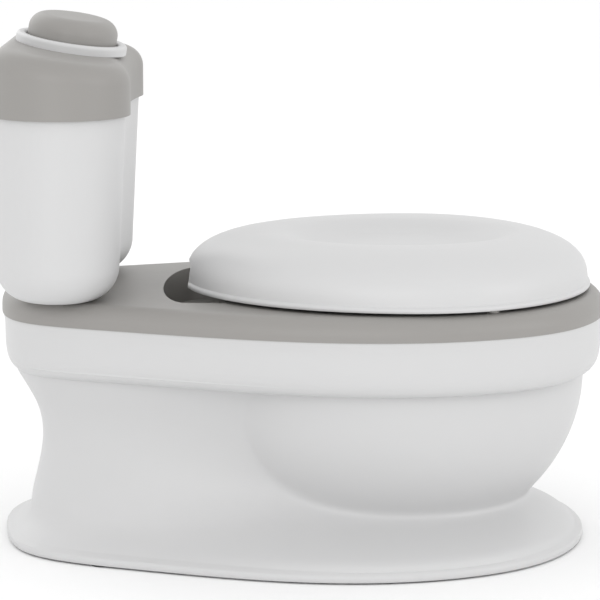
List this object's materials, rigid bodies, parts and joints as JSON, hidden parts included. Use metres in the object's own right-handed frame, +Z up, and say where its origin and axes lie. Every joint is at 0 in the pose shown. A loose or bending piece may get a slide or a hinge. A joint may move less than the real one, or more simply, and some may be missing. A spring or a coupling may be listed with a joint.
{
  "type": "potty training chair",
  "caption": "Toddler's toilet-shaped potty chair with a hinged domed lid, lift-out pot and a tank whose cap carries a flush button.",
  "frame": {"origin": "on the floor, at the middle of the chair's length and width", "axes": "+X towards the front of the seat, +Y across its width, +Z up"},
  "size_m": [0.3894, 0.2922, 0.3388],
  "materials": {
    "white_plastic": "satin moulded",
    "grey_plastic": "satin moulded",
    "pot_plastic": "polished moulded",
    "dark_plastic": "moulded",
    "rubber": "soft, matt",
    "bumper_rubber": "soft, matt",
    "steel": "zinc plated",
    "spring_steel": "drawn wire",
    "cell_jacket": "printed jacket, plain",
    "board": "solder mask",
    "speaker_metal": "stamped",
    "lead_insulation": "flexible"
  },
  "bodies": {
    "root": {"base_shell": "white_plastic", "feet": "rubber", "seat_deck": "grey_plastic", "deck_screws": "steel", "hinge_pins": "steel", "tank_shell": "white_plastic", "tank_screws": "steel", "battery_box": "dark_plastic", "batteries": "cell_jacket", "battery_contacts": "steel", "battery_door": "white_plastic", "door_screw": "steel", "circuit_board": "board", "board_screws": "steel", "button_switch": "dark_plastic", "speaker": "speaker_metal", "speaker_retainer": "dark_plastic", "speaker_screws": "steel", "speaker_leads": "lead_insulation"},
    "lid": {"lid_shell": "white_plastic", "lid_bumpers": "bumper_rubber"},
    "pot": {"inner_pot": "pot_plastic"},
    "cap": {"tank_cap": "grey_plastic", "bezel_ring": "white_plastic", "button_spring": "spring_steel"},
    "button": {"flush_button": "grey_plastic", "button_clip": "steel"}
  },
  "joints": [
    {"name": "lid_hinge", "type": "hinge", "parent": "root", "child": "lid", "pos_m": [-0.0545, 0, 0.1635], "axis": [0, -1, 0], "range_deg": [0, 94]},
    {"name": "pot_lift", "type": "slide", "parent": "root", "child": "pot", "axis": [0, 0, 1], "range_m": [0, 0.006]},
    {"name": "cap_lift", "type": "slide", "parent": "root", "child": "cap", "axis": [0, 0, 1], "range_m": [0, 0.12]},
    {"name": "flush_press", "type": "slide", "parent": "cap", "child": "button", "axis": [-0.1564, 0, -0.9877], "range_m": [0, 0.003], "stiffness_N_per_m": 400, "springref_m": -0.002, "deforming": ["button_spring"]}
  ]
}
